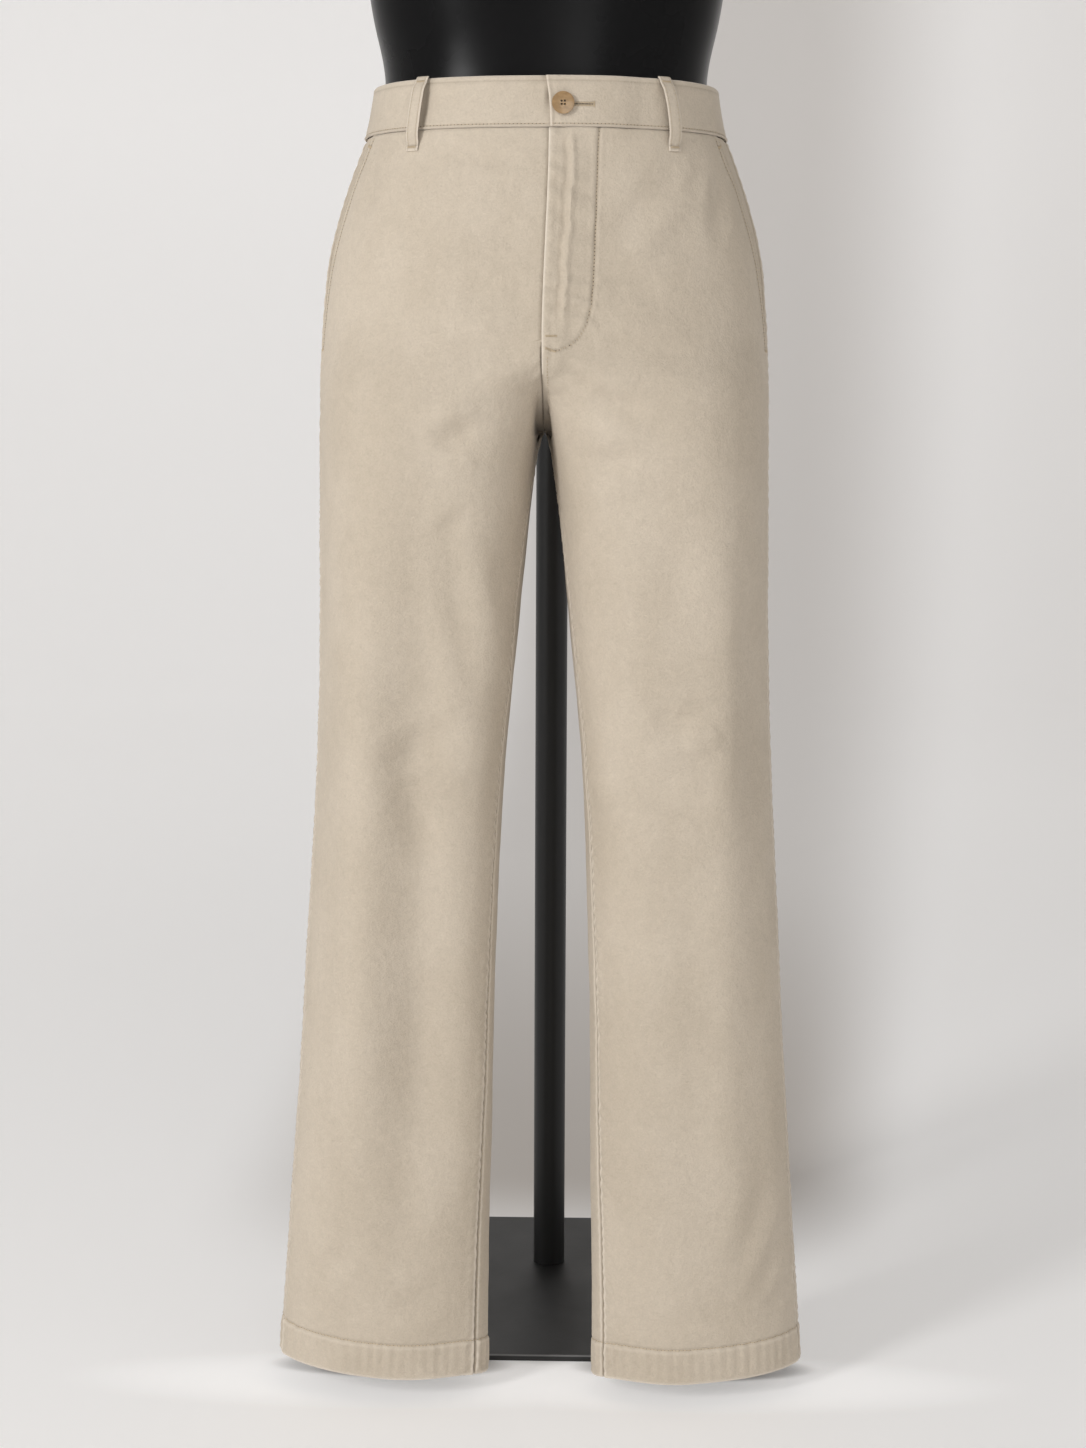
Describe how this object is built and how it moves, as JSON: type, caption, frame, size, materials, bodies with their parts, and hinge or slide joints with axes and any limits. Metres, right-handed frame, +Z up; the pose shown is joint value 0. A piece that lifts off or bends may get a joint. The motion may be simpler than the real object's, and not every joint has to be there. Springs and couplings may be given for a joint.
{
  "type": "chino trousers on a torso form stand",
  "caption": "Straight-leg chino trousers with slant pockets, button fly and belt loops, worn on a limbless torso form held by a rear upright on a base plate.",
  "frame": {"origin": "centre of the base plate's underside, on the floor", "axes": "+Z up; -Y the garment's front; +X the wearer's left"},
  "size_m": [0.4476, 0.5271, 1.2395],
  "materials": {
    "beige_twill": "matte cotton twill, tone-on-tone stitching",
    "pocket_twill": "matte cotton twill",
    "button_tan": "satin, horn-like",
    "gloss_black": "high gloss",
    "satin_black": "satin powder coat",
    "plate_grey": "matte powder coat"
  },
  "bodies": {
    "root": {"front_right": "beige_twill", "front_left": "beige_twill", "back_right": "beige_twill", "back_left": "beige_twill", "pocket_facing_right": "pocket_twill", "pocket_facing_left": "pocket_twill", "waistband_right": "beige_twill", "waistband_left": "beige_twill", "belt_loop_front_right": "beige_twill", "belt_loop_front_left": "beige_twill", "belt_loop_back_right": "beige_twill", "belt_loop_back_left": "beige_twill", "belt_loop_centre_back": "beige_twill", "button": "button_tan", "torso_form": "gloss_black", "form_socket": "satin_black", "upright": "satin_black", "base_plate": "plate_grey"}
  },
  "joints": []
}
